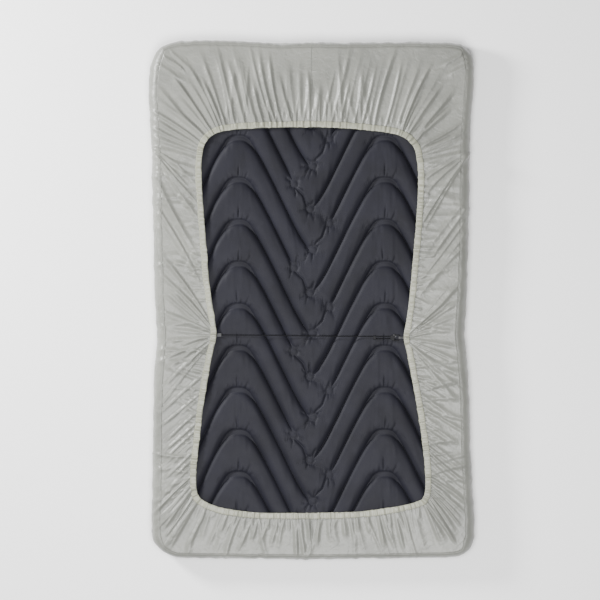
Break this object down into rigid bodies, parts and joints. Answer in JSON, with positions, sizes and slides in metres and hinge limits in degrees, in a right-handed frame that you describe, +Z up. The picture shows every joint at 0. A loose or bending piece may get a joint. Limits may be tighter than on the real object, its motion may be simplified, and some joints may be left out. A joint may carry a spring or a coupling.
{
  "type": "inflatable sleeping pad",
  "caption": "Double inflatable pad with V-shaped air chambers, underside up, in an elastic-hemmed fitted sheet held by a cross cord with a snap hook.",
  "frame": {"origin": "on the ground under the middle of the pad, which lies on its sleeping face", "axes": "+X across the pad, +Y towards the head, +Z up out of the pad's underside"},
  "size_m": [1.18, 1.89, 0.087],
  "materials": {
    "pad_cloth": "matte",
    "sheet_cloth": "satin",
    "hem_cloth": "satin",
    "elastic": "matte",
    "cord": "matte",
    "tape": "matte",
    "black_plastic": "matte",
    "grey_plastic": "matte",
    "seal_rubber": "matte",
    "steel": "satin",
    "acetal": "satin"
  },
  "bodies": {
    "pad": {"pad_underside_panel": "pad_cloth", "pad_sleep_panel": "pad_cloth", "perimeter_weld": "pad_cloth", "valve_body": "grey_plastic", "body_seal": "seal_rubber", "knob_snap_ring": "acetal", "sheet_sleep_panel": "sheet_cloth", "sheet_gusset": "sheet_cloth", "skirt_left": "sheet_cloth", "skirt_right": "sheet_cloth", "skirt_edge_seam": "sheet_cloth", "skirt_head_seam": "sheet_cloth", "skirt_foot_seam": "sheet_cloth", "hem_casing_left": "hem_cloth", "hem_casing_right": "hem_cloth", "hem_elastic": "elastic", "cross_cord": "cord", "cord_anchor_tab": "tape", "cord_crimp": "grey_plastic", "hook_body": "black_plastic", "gate_pin": "steel", "gate_spring": "steel", "hook_anchor_loop": "tape"},
    "knob": {"valve_knob": "black_plastic"},
    "plunger": {"valve_plunger": "acetal", "plunger_seal": "seal_rubber"},
    "gate": {"hook_gate": "black_plastic"}
  },
  "joints": [
    {"name": "valve_turn", "type": "hinge", "parent": "pad", "child": "knob", "pos_m": [0.53384, 0.88884, 0.0405], "axis": [0.7071, 0.7071, 0], "range_deg": [0, 180]},
    {"name": "valve_lift", "type": "slide", "parent": "pad", "child": "plunger", "axis": [0.7071, 0.7071, 0], "range_m": [0, 0.005]},
    {"name": "gate_hinge", "type": "hinge", "parent": "pad", "child": "gate", "pos_m": [0.3006, -0.1288, 0.0836], "axis": [0, 0, -1], "range_deg": [0, 28], "stiffness_Nm_per_rad": 0.01, "springref_deg": -20.05, "deforming": ["gate_spring"]}
  ],
  "couplings": [
    {"joint": "valve_lift", "follows": "valve_turn", "m_per_rad": 0.0015915}
  ]
}
